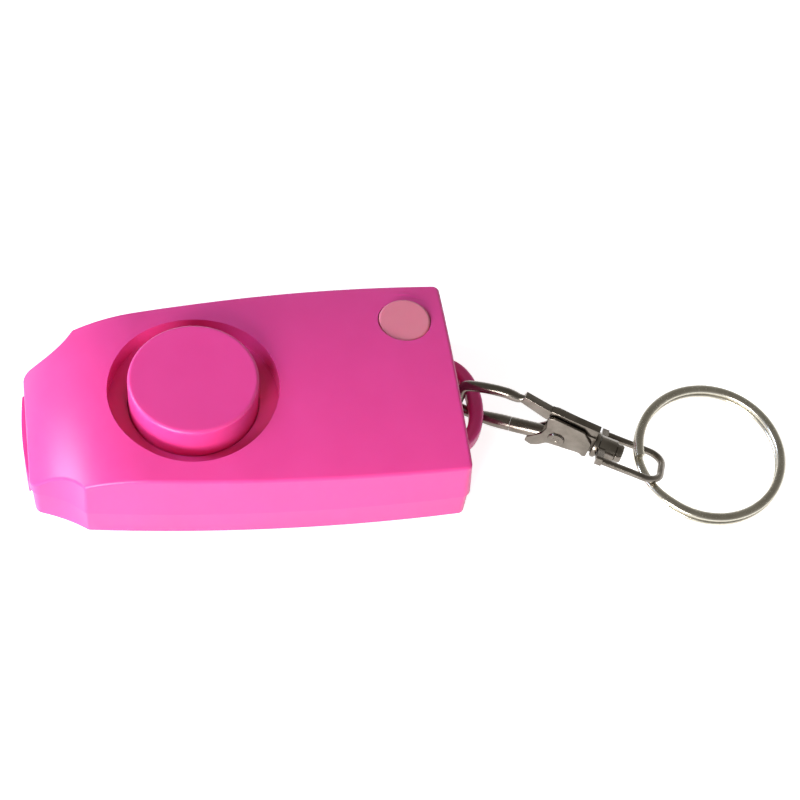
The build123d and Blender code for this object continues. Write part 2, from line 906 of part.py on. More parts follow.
def seam_cut(shift):
    """Half space on the lever's side of the seam at the hook's tip."""
    lean = radians(seam_lean)
    long = 4 * nose_height
    foot = (hook_tip_s + shift + long * sin(lean) / 2, hook_low_t - long * cos(lean) / 2)
    head = (hook_tip_s + shift - long * sin(lean) / 2, hook_low_t + long * cos(lean) / 2)
    wide = nose_end_s - hook_tip_s
    return slab([foot, (foot[0] + wide, foot[1]), (head[0] + wide, head[1]), head], collar_radius)


def spine_top(s):
    """Upper edge of the spine at a distance s along the clasp."""
    slope = (spine_end_t - spine_start_t) / (collar_s - spine_start_s)
    return spine_start_t + slope * (s - spine_start_s)


def clasp_hook():
    """Die-cast hook: round bend through the ear, square spine, collar and swivel post."""
    path = FilletPolyline(
        (hook_root_s, hook_root_t), (hook_crest_s, hook_crest_t), (hook_bend_s, hook_back_t),
        (hook_bend_s, hook_low_t), (hook_tip_start_s, hook_low_t),
        radius=(hook_crest_radius, hook_back_radius, hook_low_radius),
    )
    section = Plane(origin=path @ 0, z_dir=path % 0) * Circle(hook_radius)
    body = sweep(section, path=path.wire())
    cone = Cone(hook_radius, hook_tip_radius, hook_taper)
    body += Pos(hook_tip_start_s, hook_low_t, 0) * Rot(0, 90, 0) * cone
    tip_arm = along_axis(hook_tip_radius, hook_tip_start_s + hook_taper / 2, hook_tip_s + hook_tip_radius)
    body += Pos(0, hook_low_t, 0) * tip_arm
    body -= seam_cut(0)
    spine = slab(
        [
            (spine_start_s, spine_start_t),
            (spine_step_s, spine_top(spine_step_s)),
            (spine_step_s, spine_top(spine_step_s) + spine_step),
            (collar_s, spine_end_t + spine_step),
            (collar_s, block_low_t),
            (block_start_s, block_low_t),
            (rivet_s, rivet_t - lug_radius),
            (rivet_s - lug_radius, rivet_t),
            (throat_s, spine_top(throat_s) - spine_depth),
            (spine_start_s, spine_start_t - spine_depth),
        ],
        spine_width / 2,
    )
    body += spine
    collar = along_axis(collar_radius, collar_s, collar_s + collar_thick)
    collar = fillet(collar.edges(), collar_thick / 3)
    body += collar
    collar_end = collar_s + collar_thick
    post_end = collar_end + eye_base_thick + eye_boss_length + 2 * eye_side_gap
    body += along_axis(post_radius_clasp, collar_end - collar_thick / 2, post_end + post_head_thick / 2)
    head = along_axis(post_head_radius, post_end, post_end + post_head_thick)
    head = fillet(head.edges().sort_by(Axis.X)[-1], post_head_thick / 4)
    body += head
    body -= across_axis(rivet_radius, rivet_s, rivet_t, spine_width)
    pocket_radius = hypot(lever_spring_bend + lever_spring_wire / 2, lever_spring_rise) + lever_pocket_gap
    pocket = rod(pocket_radius, spine_width / 2 - lever_pocket_depth, spine_width)
    body -= Pos(rivet_s, rivet_t, 0) * pocket
    return clasp_frame() * body


def lever_rivet():
    """Rivet through the hook and both cheeks of the lever."""
    inner = spine_width / 2 + cheek_gap + cheek_thick + pivot_gap
    rivet = across_axis(rivet_radius, rivet_s, rivet_t, inner + rivet_head_thick / 2)
    for sign in (-1, 1):
        head = Pos(rivet_s, rivet_t, sign * (inner + rivet_head_thick / 2)) * Cylinder(rivet_head_radius, rivet_head_thick)
        rim = head.edges().filter_by(lambda e: abs(e.center().Z) > inner + rivet_head_thick / 2)
        rivet += fillet(rim, rivet_head_thick / 2)
    return clasp_frame() * rivet


def lever_spring():
    """Bent wire in the hook's pocket that pushes the lever's nose shut."""
    bend = lever_spring_bend
    end_angle = radians(lever_spring_angle)
    middle = arc_point(bend, lever_spring_angle / 2)
    exit_point = arc_point(bend, lever_spring_angle)
    exit_way = Vector(sin(end_angle), -cos(end_angle), 0)
    path = Wire(
        [
            Line((bend, lever_spring_rise), (bend, 0)).edge(),
            ThreePointArc((bend, 0), middle, exit_point).edge(),
            Line(exit_point, exit_point + exit_way * lever_spring_reach).edge(),
        ]
    )
    section = Plane(origin=path @ 0, z_dir=path % 0) * Circle(lever_spring_wire / 2)
    height = (spine_width - lever_pocket_depth) / 2
    return clasp_frame() * Pos(rivet_s, rivet_t, height) * sweep(section, path=path)


def clasp_lever():
    """Folded lever: two cheeks with thumb tabs, a web between them and the nose."""
    cheek_outline = make_face(
        Polyline(
            cheek_top_start, cheek_top_end, (cheek_end_s, cheek_end_t), (cheek_bump_s, cheek_bump_t),
            (cheek_low_s, cheek_low_t), (thumb_low_s, thumb_low_t), (thumb_end_s, thumb_low_t),
            (thumb_end_s, (thumb_low_t + thumb_root_t) / 2), (thumb_root_s, thumb_root_t),
            (cheek_mouth_s, cheek_low_t / 2),
            close=True,
        )
    )
    cheek_outline = fillet(cheek_outline.vertices(), cheek_corner_radius)
    inner = spine_width / 2 + cheek_gap
    cheek = Pos(0, 0, inner) * extrude(cheek_outline, amount=cheek_thick)
    lever = cheek + mirror(cheek, Plane.XY)
    web_low = cheek_low_t + web_thick / 4
    lever += slab(
        [
            (cheek_low_s + web_thick, web_low), (web_end_s, web_low + web_thick / 2),
            (web_end_s, web_low + 1.5 * web_thick), (cheek_low_s + web_thick, web_low + web_thick),
        ],
        inner + cheek_thick / 2,
    )
    lift = nose_height / 2
    nose = slab(
        [
            (hook_tip_s - nose_height, nose_front_t - lift), (nose_end_s, nose_end_t - lift),
            (nose_end_s, nose_end_t + lift), (hook_tip_s - nose_height, nose_front_t + lift),
        ],
        nose_width / 2,
    )
    nose &= seam_cut(seam_gap)
    nose -= across_axis(lug_radius + nose_clear, rivet_s, rivet_t, nose_width)
    lever += nose
    lever -= across_axis(rivet_radius + pivot_gap, rivet_s, rivet_t, 2 * spine_width)
    return clasp_frame() * lever


def swivel_eye():
    """Loop for the ring: bowed wire, flat base and the boss that turns on the post."""
    base_start = collar_s + collar_thick + eye_side_gap
    base_middle = base_start + eye_base_thick / 2
    path = FilletPolyline(
        (base_middle, eye_half_width), (eye_end_s, eye_half_width),
        (eye_end_s, -eye_half_width), (base_middle, -eye_half_width),
        radius=eye_end_radius,
    )
    section = Plane(origin=path @ 0, z_dir=path % 0) * Circle(eye_wire / 2)
    eye = sweep(section, path=path.wire())
    base_width = 2 * eye_half_width + eye_wire + eye_base_lip
    base = Pos(base_middle, 0, 0) * Box(eye_base_thick, base_width, eye_base_depth)
    base = fillet(base.edges().filter_by(Axis.X), eye_base_depth / 4)
    eye += base
    eye += along_axis(eye_boss_radius, base_start, base_start + eye_base_thick + eye_boss_length)
    eye -= along_axis(post_radius_clasp + eye_post_gap, base_start - overrun, eye_end_s / 2 + base_start / 2)
    return clasp_frame() * Rot(eye_roll, 0, 0) * eye


# Split ring


def ring_frame():
    """Place of the split ring: through the eye, leaning over, with its lowest edge on the table."""
    frame = clasp_frame()
    cross = frame.from_local_coords(Vector(ring_cross_s, ring_cross_t, 0))
    mean = ring_outer_radius - ring_band / 2
    turn = radians(ring_turn)
    tilt = radians(ring_tilt)
    reach = (cross.Z - (ring_pitch + ring_wire_height) / 2) * mean
    square = mean**2 - ring_outer_radius**2
    rest = (reach / mean) ** 2 - (ring_outer_radius * sin(tilt)) ** 2
    fall = asin((reach - sqrt(reach**2 - square * rest)) / square)
    along = Vector(cos(turn) * cos(fall), sin(turn) * cos(fall), -sin(fall))
    side = Vector(-sin(turn), cos(turn), 0)
    centre = cross + along * mean
    return Plane(origin=centre, x_dir=along, z_dir=along.cross(side) * cos(tilt) - side * sin(tilt))


def ring_path():
    """Two level turns joined by one climb, as tangent arcs."""
    mean = ring_outer_radius - ring_band / 2
    half = ring_pitch / 2
    flat_span = 360 - ring_jog_span
    pieces = 4
    edges = []

    def level_turn(start, z):
        for i in range(pieces):
            a = start + flat_span * i / pieces
            b = start + flat_span * (i + 1) / pieces
            ends = (arc_point(mean, a, z), arc_point(mean, (a + b) / 2, z), arc_point(mean, b, z))
            edges.append(Edge.make_three_point_arc(*ends))

    first = ring_jog_start + ring_jog_span - 360
    level_turn(first, -half)
    middle_radius = sqrt(mean**2 + half**2)
    middle = arc_point(middle_radius, ring_jog_start + ring_jog_span / 2, 0)
    rise = Edge.make_tangent_arc(edges[-1] @ 1, edges[-1] % 1, middle)
    settle = Edge.make_tangent_arc(middle, rise % 1, arc_point(mean, ring_jog_start + ring_jog_span, half))
    edges.extend([rise, settle])
    level_turn(ring_jog_start + ring_jog_span, half)
    return Wire(edges)


def least_self_gap(path, thickness, skip):
    """Smallest clear distance between parts of a coil that are further apart than skip."""
    count = 400
    step = path.length / count
    points = [path @ (i / count) for i in range(count + 1)]
    near = int(skip / step) + 1
    gaps = [
        (points[i] - points[j]).length for i in range(count + 1) for j in range(i + near, count + 1)
    ]
    return min(gaps) - thickness


def split_ring():
    """Two-turn key ring rolled from one flattened wire."""
    path = ring_path()
    outward = path @ 0 - Vector(0, 0, (path @ 0).Z)
    start = Plane(origin=path @ 0, x_dir=outward, z_dir=path % 0)
    section = start * RectangleRounded(ring_band, ring_wire_height, ring_corner_radius)
    ring = sweep(section, path=path)
    gap = least_self_gap(path, ring_wire_height, ring_outer_radius)
    print("split_ring least gap between turns", round(gap, 2))
    return ring_frame() * ring


def write(name, shape):
    """One STEP file for each piece, or for a group of like pieces."""
    if isinstance(shape, list):
        shape = Compound(children=[s.solid() for s in shape])
    shape.label = name
    export_step(shape, "parts/" + name + ".step")


def main():
    os.makedirs("parts", exist_ok=True)
    write("case_top", case_top())
    write("case_bottom", case_bottom())
    write("panic_button", panic_button())
    write("panic_spring", panic_spring())
    write("panic_switch", switch_housing(switch_side, switch_height, switch_floor, plunger_radius))
    write("panic_switch_plunger", plunger(plunger_radius, switch_height, plunger_proud, panic_travel))
    write("torch_button", torch_button())
    small = switch_housing(small_switch_side, small_switch_height, small_switch_floor, small_plunger_radius)
    write("torch_switch", Pos(torch_x, torch_y, 0) * small)
    small_plunger = plunger(small_plunger_radius, small_switch_height, small_plunger_proud, torch_travel)
    write("torch_switch_plunger", Pos(torch_x, torch_y, 0) * small_plunger)
    write("circuit_board", circuit_board())
    write("controller_chip", controller_chip())
    write("boost_coil", boost_coil())
    write("sounder_disc", sounder_disc_plate())
    write("sounder_ceramic", sounder_ceramic())
    write("battery_cap", battery_cap())
    write("coin_cell_lower", coin_cell(0))
    write("coin_cell_upper", coin_cell(1))
    write("battery_contact_spring", battery_contact_spring())
    write("battery_contact_side", battery_contact_side())
    write("torch_bezel", torch_bezel())
    write("torch_lens", torch_lens())
    for i, y in enumerate(led_places()):
        write("torch_led_" + str(i + 1), torch_led(y))
    write("case_screws", case_screws())
    write("clasp_hook", clasp_hook())
    write("clasp_lever", clasp_lever())
    write("lever_rivet", lever_rivet())
    write("lever_spring", lever_spring())
    write("swivel_eye", swivel_eye())
    write("split_ring", split_ring())


if __name__ == "__main__":
    main()
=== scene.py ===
from math import cos, sin, pi, radians
import bpy
import bmesh
from mathutils import Matrix, Vector


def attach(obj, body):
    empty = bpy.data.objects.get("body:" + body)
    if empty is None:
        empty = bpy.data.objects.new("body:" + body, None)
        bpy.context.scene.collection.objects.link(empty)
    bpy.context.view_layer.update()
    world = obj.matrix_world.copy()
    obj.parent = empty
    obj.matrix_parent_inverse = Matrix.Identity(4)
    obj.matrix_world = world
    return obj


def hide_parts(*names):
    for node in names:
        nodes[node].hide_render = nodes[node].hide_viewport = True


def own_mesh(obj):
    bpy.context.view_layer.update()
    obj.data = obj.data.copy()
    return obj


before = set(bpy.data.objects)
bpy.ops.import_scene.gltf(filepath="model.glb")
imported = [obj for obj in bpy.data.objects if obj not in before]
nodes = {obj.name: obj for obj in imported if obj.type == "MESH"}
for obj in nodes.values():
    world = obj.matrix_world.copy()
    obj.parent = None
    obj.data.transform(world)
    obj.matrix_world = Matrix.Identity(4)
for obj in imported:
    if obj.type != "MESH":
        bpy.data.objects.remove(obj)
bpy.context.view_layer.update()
bpy.context.scene.view_settings.view_transform = "Standard"

# The camera stands where the photograph was taken from: it looks down on the alarm from the
# front left, at a little under half a metre, and is held slightly askew, so that the case runs
# level across the picture. Its angles are in radians.
picture_pixels = 800
focal_pixels = 2200
film_width = 36.0
aim = Vector((0.04113, 0.00615, 0.0))
camera_turn = -0.2537
camera_lift = 0.9702
camera_roll = 0.1303
camera_reach = 0.43274
camera_data = bpy.data.cameras.new("camera")
camera_data.sensor_width = film_width
camera_data.lens = focal_pixels / picture_pixels * film_width
camera_data.clip_start = 0.01
camera_data.clip_end = 20.0
camera = bpy.data.objects.new("camera", camera_data)
bpy.context.scene.collection.objects.link(camera)
bpy.context.scene.camera = camera
back = Vector((
    cos(camera_lift) * sin(camera_turn),
    -cos(camera_lift) * cos(camera_turn),
    sin(camera_lift),
))
level_right = (-back).cross(Vector((0, 0, 1))).normalized()
level_up = level_right.cross(-back)
rolled_right = level_right * cos(camera_roll) + level_up * sin(camera_roll)
rolled_up = level_up * cos(camera_roll) - level_right * sin(camera_roll)
camera_axes = Matrix((rolled_right, rolled_up, back)).transposed()
camera.matrix_world = Matrix.Translation(aim + back * camera_reach) @ camera_axes.to_4x4()

# The table top: a broad sheet of matt white card under the alarm. The camera, polished metal
# and the lens see it as plain white, and it keeps the soft shadow.
table_half = 3.0
table_drop = 0.00005


def white_card(name, glow, shade):
    card = bpy.data.materials.new(name)
    card.use_nodes = True
    tree = card.node_tree
    tree.nodes.clear()
    paper = tree.nodes.new("ShaderNodeBsdfDiffuse")
    paper.inputs["Color"].default_value = (shade, shade, shade, 1)
    light = tree.nodes.new("ShaderNodeEmission")
    light.inputs["Strength"].default_value = glow
    black = tree.nodes.new("ShaderNodeEmission")
    black.inputs["Strength"].default_value = 0.0
    ray = tree.nodes.new("ShaderNodeLightPath")
    seen = ray.outputs["Is Camera Ray"]
    for kind in ("Is Glossy Ray", "Is Transmission Ray"):
        either = tree.nodes.new("ShaderNodeMath")
        either.operation = "MAXIMUM"
        tree.links.new(seen, either.inputs[0])
        tree.links.new(ray.outputs[kind], either.inputs[1])
        seen = either.outputs[0]
    switch = tree.nodes.new("ShaderNodeMixShader")
    total = tree.nodes.new("ShaderNodeAddShader")
    result = tree.nodes.new("ShaderNodeOutputMaterial")
    tree.links.new(seen, switch.inputs["Fac"])
    tree.links.new(black.outputs[0], switch.inputs[1])
    tree.links.new(light.outputs[0], switch.inputs[2])
    tree.links.new(paper.outputs[0], total.inputs[0])
    tree.links.new(switch.outputs[0], total.inputs[1])
    tree.links.new(total.outputs[0], result.inputs["Surface"])
    return card


sheet = bmesh.new()
bmesh.ops.create_grid(sheet, x_segments=1, y_segments=1, size=table_half)
bmesh.ops.translate(sheet, verts=sheet.verts, vec=(0, 0, -table_drop))
table = bpy.data.meshes.new("table_top")
sheet.to_mesh(table)
sheet.free()
table.materials.append(white_card("table_card", glow=0.80, shade=0.85))
table_top = bpy.data.objects.new("table_top", table)
bpy.context.scene.collection.objects.link(table_top)

# The room round the table: light grey low down and dim higher up, so that the metal shows a
# darker ceiling, and plain white wherever the camera looks past the table.
room_low = (0.62, 0.62, 0.62, 1)
room_high = (0.22, 0.212, 0.195, 1)
high_level = 0.75
world = bpy.data.worlds.new("studio")
bpy.context.scene.world = world
world.use_nodes = True
sky = world.node_tree
sky.nodes.clear()
way = sky.nodes.new("ShaderNodeTexCoord")
axes = sky.nodes.new("ShaderNodeSeparateXYZ")
walls = sky.nodes.new("ShaderNodeValToRGB")
walls.color_ramp.elements[0].color = room_low
walls.color_ramp.elements[1].position = high_level
walls.color_ramp.elements[1].color = room_high
room = sky.nodes.new("ShaderNodeBackground")
white = sky.nodes.new("ShaderNodeBackground")
white.inputs["Color"].default_value = (1, 1, 1, 1)
white.inputs["Strength"].default_value = 1.0
ray = sky.nodes.new("ShaderNodeLightPath")
pick = sky.nodes.new("ShaderNodeMixShader")
result = sky.nodes.new("ShaderNodeOutputWorld")
sky.links.new(way.outputs["Generated"], axes.inputs[0])
sky.links.new(axes.outputs["Z"], walls.inputs["Fac"])
sky.links.new(walls.outputs["Color"], room.inputs["Color"])
sky.links.new(ray.outputs["Is Camera Ray"], pick.inputs["Fac"])
sky.links.new(room.outputs[0], pick.inputs[1])
sky.links.new(white.outputs[0], pick.inputs[2])
sky.links.new(pick.outputs[0], result.inputs["Surface"])

# The lamps: one broad soft box low at the front left, which makes the near wall the brightest,
# and a weaker, cooler one high on the left that draws the pale edges.
def soft_box(name, place, target, width, height, power, colour):
    lamp = bpy.data.lights.new(name, "AREA")
    lamp.color = colour
    lamp.shape = "RECTANGLE"
    lamp.size = width
    lamp.size_y = height
    lamp.energy = power
    holder = bpy.data.objects.new(name, lamp)
    bpy.context.scene.collection.objects.link(holder)
    holder.location = place
    holder.rotation_mode = "QUATERNION"
    holder.rotation_quaternion = (Vector(target) - Vector(place)).to_track_quat("-Z", "Y")


soft_box(
    "front_box", place=(-0.62, -0.80, 0.36), target=(0.03, 0, 0.01),
    width=0.6, height=0.4, power=15.5, colour=(1, 1, 1),
)
soft_box(
    "left_box", place=(-0.80, 0.22, 0.50), target=(0.0, 0, 0.01),
    width=0.35, height=0.35, power=7.0, colour=(0.62, 0.74, 1.0),
)

# The case: two halves moulded in bright pink plastic, closed on a fine parting line and screwed
# from below. The skin is smooth with a soft gloss, and the thin walls let a little light through.
def new_finish(name):
    """Empty finish: the material, its node tree and its shader."""
    finish = bpy.data.materials.new(name)
    finish.use_nodes = True
    return finish, finish.node_tree, finish.node_tree.nodes["Principled BSDF"]


def cloudy(tree, scale, detail=2.0):
    """Cloudy pattern that keeps to the piece."""
    place = tree.nodes.new("ShaderNodeTexCoord")
    cloud = tree.nodes.new("ShaderNodeTexNoise")
    cloud.inputs["Scale"].default_value = scale
    cloud.inputs["Detail"].default_value = detail
    tree.links.new(place.outputs["Object"], cloud.inputs["Vector"])
    return cloud.outputs["Fac"]


def drift(tree, skin, pattern, shades, stops):
    """The colour drifts between two close shades."""
    tint = tree.nodes.new("ShaderNodeValToRGB")
    for stop, position, shade in zip(tint.color_ramp.elements, stops, shades):
        stop.position = position
        stop.color = (*shade, 1)
    tree.links.new(pattern, tint.inputs["Fac"])
    tree.links.new(tint.outputs["Color"], skin.inputs["Base Color"])


def wiped(tree, skin, pattern, smoothest, roughest):
    """The gloss comes and goes with the pattern."""
    sheen = tree.nodes.new("ShaderNodeMapRange")
    sheen.inputs["To Min"].default_value = smoothest
    sheen.inputs["To Max"].default_value = roughest
    tree.links.new(pattern, sheen.inputs["Value"])
    tree.links.new(sheen.outputs["Result"], skin.inputs["Roughness"])


def relief(tree, pattern, strength, depth, under=None):
    """Fine relief over what lies under it."""
    bump = tree.nodes.new("ShaderNodeBump")
    bump.inputs["Strength"].default_value = strength
    bump.inputs["Distance"].default_value = depth
    tree.links.new(pattern, bump.inputs["Height"])
    if under:
        tree.links.new(under, bump.inputs["Normal"])
    return bump.outputs["Normal"]


def moulded_plastic(name, colour, deep, roughness, glow, grain):
    uneven = 0.05
    plastic, tree, skin = new_finish(name)
    cloud = cloudy(tree, scale=90.0, detail=3.0)
    fine = cloudy(tree, scale=1600.0)
    drift(tree, skin, cloud, shades=(deep, colour), stops=(0.3, 0.7))
    wiped(tree, skin, cloud, roughness - uneven, roughness + uneven)
    tree.links.new(relief(tree, fine, strength=grain, depth=0.00003), skin.inputs["Normal"])
    skin.inputs["Subsurface Weight"].default_value = glow
    skin.inputs["Subsurface Radius"].default_value = (1.0, 0.3, 0.6)
    skin.inputs["Subsurface Scale"].default_value = 0.0015
    skin.inputs["IOR"].default_value = 1.5
    return plastic


def dress(name, finish):
    piece = nodes[name]
    piece.data.materials.clear()
    piece.data.materials.append(finish)


pink = moulded_plastic(
    "pink_abs", colour=(0.87, 0.066, 0.325), deep=(0.84, 0.060, 0.305), roughness=0.34, glow=0.25, grain=0.12,
)
dress("case_top", pink)
dress("case_bottom", pink)

# The big push button: a hollow cap of the same pink, its top polished flat with a small round
# edge. It stands in the middle of the well and slides down on its switch.
dress("panic_button", pink)

# The torch button: a softer, paler pink button of thermoplastic rubber, flush with the top and
# very slightly domed.
soft_pink = moulded_plastic(
    "soft_pink_rubber", colour=(0.77, 0.225, 0.30), deep=(0.74, 0.21, 0.28),
    roughness=0.45, glow=0.35, grain=0.25,
)
dress("torch_button", soft_pink)

# The battery cap: a flat bayonet cap in the base, moulded in the case's pink and turned by a
# coin in its slot.
dress("battery_cap", pink)

# The frame round the torch window: a slim pink moulding, bowed across the nose, with its back
# flat on the nose wall. Its sleeve, a single skin, reaches back into the window round the lens.
nose_x = -0.03135
frame_half = 0.0091
frame_low = 0.00125
frame_high = 0.00815
frame_corner = 0.0013
frame_width = 0.00145
frame_proud = 0.0003
frame_edge = 0.00014
frame_bow = 0.00058
sleeve_depth = 0.003
slices_each_side = 13
slice_width = 0.00065
wall_tolerance = 0.00001


def finished_piece(name, shape, place, finish, sharp_angle):
    """Turn a piece's faces outward, set it in its place and shade it softly between its sharp edges."""
    bmesh.ops.recalc_face_normals(shape, faces=shape.faces)
    bmesh.ops.transform(shape, matrix=place, verts=shape.verts)
    for face in shape.faces:
        face.smooth = True
    mesh = bpy.data.meshes.new(name)
    shape.to_mesh(mesh)
    shape.free()
    mesh.set_sharp_from_angle(angle=radians(sharp_angle))
    mesh.materials.append(finish)
    piece = bpy.data.objects.new(name, mesh)
    bpy.context.scene.collection.objects.link(piece)
    return piece


bezel = bmesh.new()
corners = [
    (-frame_half, frame_low), (frame_half, frame_low), (frame_half, frame_high), (-frame_half, frame_high),
]
rim = [bezel.verts.new((nose_x, y, z)) for y, z in corners]
bezel.faces.new(rim)
bmesh.ops.bevel(
    bezel, geom=rim, offset=frame_corner, affect="VERTICES", segments=5, profile=0.5, material=-1,
)
window = max(bezel.faces, key=lambda face: face.calc_area())
bmesh.ops.inset_region(
    bezel, faces=[window], thickness=frame_width, use_boundary=True, use_even_offset=True,
)
mouth = list(window.edges)
band = [face for face in bezel.faces if face is not window]
bmesh.ops.delete(bezel, geom=[window], context="FACES_ONLY")
sleeve = bmesh.ops.extrude_edge_only(bezel, edges=mouth)
sleeve_end = [item for item in sleeve["geom"] if isinstance(item, bmesh.types.BMVert)]
bmesh.ops.translate(bezel, verts=sleeve_end, vec=(sleeve_depth, 0, 0))
front = bmesh.ops.extrude_face_region(bezel, geom=band)
front_faces = [item for item in front["geom"] if isinstance(item, bmesh.types.BMFace)]
front_verts = [item for item in front["geom"] if isinstance(item, bmesh.types.BMVert)]
bmesh.ops.translate(bezel, verts=front_verts, vec=(-frame_proud, 0, 0))
front_rims = dict.fromkeys(
    edge for face in front_faces for edge in face.edges
    if sum(beside in front_faces for beside in edge.link_faces) == 1
)
bmesh.ops.bevel(
    bezel, geom=list(front_rims), offset=frame_edge, affect="EDGES", segments=3, profile=0.5, material=-1,
)
for slice_number in range(-slices_each_side, slices_each_side + 1):
    bmesh.ops.bisect_plane(
        bezel, geom=list(bezel.verts) + list(bezel.edges) + list(bezel.faces), dist=1e-6,
        plane_co=(0, slice_number * slice_width, 0), plane_no=(0, 1, 0),
    )
for vert in bezel.verts:
    stands_proud = vert.co.x < nose_x - wall_tolerance
    if stands_proud:
        vert.co.x -= frame_bow * (1 - (vert.co.y / frame_half) ** 2)
torch_frame = finished_piece("torch_frame", bezel, Matrix.Identity(4), pink, sharp_angle=35)
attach(torch_frame, "case")
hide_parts("torch_bezel")

# The torch window: a clear lens moulded in hard resin, held in the frame's sleeve, with three
# clear LEDs behind it.
def clear_resin(name, tint, roughness, ior):
    haze = 0.05
    resin, tree, skin = new_finish(name)
    wiped(tree, skin, cloudy(tree, scale=400.0), roughness, roughness + haze)
    skin.inputs["Base Color"].default_value = (*tint, 1)
    skin.inputs["Transmission Weight"].default_value = 1.0
    skin.inputs["IOR"].default_value = ior
    return resin


dress("torch_lens", clear_resin("clear_lens", tint=(0.96, 0.97, 0.98), roughness=0.02, ior=1.49))
led_resin = clear_resin("led_resin", tint=(0.97, 0.97, 0.92), roughness=0.05, ior=1.54)
for name in ("torch_led_1", "torch_led_2", "torch_led_3"):
    dress(name, led_resin)

# The swivel eye: a bowed loop of die-cast zinc that turns on the clasp's post. Its soft nickel
# plate is warm grey, with faint casting waves and fine rubbing marks, and the hook, the lever
# and the rivet share it.
def plated_metal(name, light, dark, roughness, wave, marks):
    polished, rubbed = 0.06, 0.08
    plate, tree, skin = new_finish(name)
    stain = cloudy(tree, scale=260.0, detail=4.0)
    rub = cloudy(tree, scale=2600.0, detail=3.0)
    wobble = cloudy(tree, scale=420.0)
    drift(tree, skin, stain, shades=(dark, light), stops=(0.35, 0.65))
    wiped(tree, skin, rub, roughness - polished, roughness + rubbed)
    waves = relief(tree, wobble, strength=wave, depth=0.0001)
    scratches = relief(tree, rub, strength=marks, depth=0.00002, under=waves)
    tree.links.new(scratches, skin.inputs["Normal"])
    skin.inputs["Metallic"].default_value = 1.0
    return plate


nickel = plated_metal(
    "nickel_plate", light=(0.27, 0.24, 0.205), dark=(0.18, 0.157, 0.13), roughness=0.22, wave=0.35, marks=0.2,
)
dress("swivel_eye", nickel)

# The clasp's hook: one zinc casting with a bent round arm, a square spine, a block for the lever
# and a collared post for the eye. Its sizes are millimetres along the clasp, up from its middle
# line and across it; the clasp heads off to the front and dips from the ear to the table.
millimetre = 0.001
clasp_start = Vector((0.054422, 0, 0.00805))
clasp_heading = radians(-26)
clasp_dip = radians(8)
clasp_place = (
    Matrix.Translation(clasp_start)
    @ Matrix.Rotation(clasp_heading, 4, "Z")
    @ Matrix.Rotation(clasp_dip, 4, "Y")
    @ Matrix.Rotation(pi / 2, 4, "X")
    @ Matrix.Scale(millimetre, 4)
)
weld_gap = 0.0005
hook_arm = [
    (8.95, 6.0, 0.55), (7.9, 5.15, 0.85), (6.6, 5.2, 1.05), (4.9, 5.3, 1.05), (1.4, 4.4, 1.05),
    (-1.2, 3.35, 1.05), (-2.85, 2.4, 1.05), (-2.95, 0.2, 1.05), (-2.95, -3.2, 1.05), (-2.9, -5.3, 1.05),
    (-0.8, -5.5, 1.05), (1.8, -5.45, 1.08), (4.4, -5.0, 1.38), (6.5, -4.45, 1.45), (8.2, -4.08, 1.45),
]
spine_outline = [(8.6, 7.15), (14.3, 5.75), (14.35, 5.95), (24.4, 5.25), (24.4, 2.9), (13.8, 2.9), (8.1, 5.1)]
spine_half = 0.78
spine_edge = 0.16
block_outline = [
    (14.4, 3.1), (24.4, 3.1), (24.4, -1.75), (19.9, -1.75), (17.9, -2.75), (16.4, -2.6), (15.55, -0.95),
]
block_half = 1.0
block_corner = 0.3
block_edge = 0.1
post_foot = (24.3, 0, 0)
post_profile = [
    (0, 0), (2.2, 0), (2.45, 0.12), (2.55, 0.36), (2.55, 0.74), (2.45, 0.98), (2.2, 1.1), (1.1, 1.1),
    (1.1, 4.6), (1.75, 4.6), (1.85, 4.75), (1.85, 5.55), (1.6, 5.95), (0, 6.05),
]


def clasp_plate(shape, outline, low, high, corner, edge):
    """Stamped or cast plate in the clasp's plane: outline with rounded corners, softened rims."""
    rim = [shape.verts.new((along, up, low)) for along, up in outline]
    face = shape.faces.new(rim)
    if corner:
        rounded = bmesh.ops.bevel(
            shape, geom=rim, offset=corner, affect="VERTICES", segments=4, profile=0.5, material=-1,
        )
        beside = [near for vert in rounded["verts"] for near in vert.link_faces]
        face = max(rounded["faces"] + beside, key=lambda near: near.calc_area())
    raised = bmesh.ops.extrude_face_region(shape, geom=[face], use_keep_orig=True)
    top = [item for item in raised["geom"] if isinstance(item, bmesh.types.BMVert)]
    bmesh.ops.translate(shape, verts=top, vec=(0, 0, high - low))
    caps = [face] + [item for item in raised["geom"] if isinstance(item, bmesh.types.BMFace)]
    rims = list(dict.fromkeys(rim_edge for cap in caps for rim_edge in cap.edges))
    bmesh.ops.bevel(shape, geom=rims, offset=edge, affect="EDGES", segments=3, profile=0.5, material=-1)


def turned_post(shape, profile, centre, across):
    """Round piece turned from a half profile of radius and height pairs."""
    before = set(shape.verts)
    points = [shape.verts.new((radius, 0, height)) for radius, height in profile]
    edges = [shape.edges.new(pair) for pair in zip(points, points[1:])]
    bmesh.ops.spin(
        shape, geom=points + edges, cent=(0, 0, 0), axis=(0, 0, 1), angle=2 * pi, steps=40, use_merge=True,
    )
    turned = [vert for vert in shape.verts if vert not in before]
    if not across:
        bmesh.ops.rotate(shape, verts=turned, cent=(0, 0, 0), matrix=Matrix.Rotation(pi / 2, 3, "Y"))
    bmesh.ops.translate(shape, verts=turned, vec=centre)


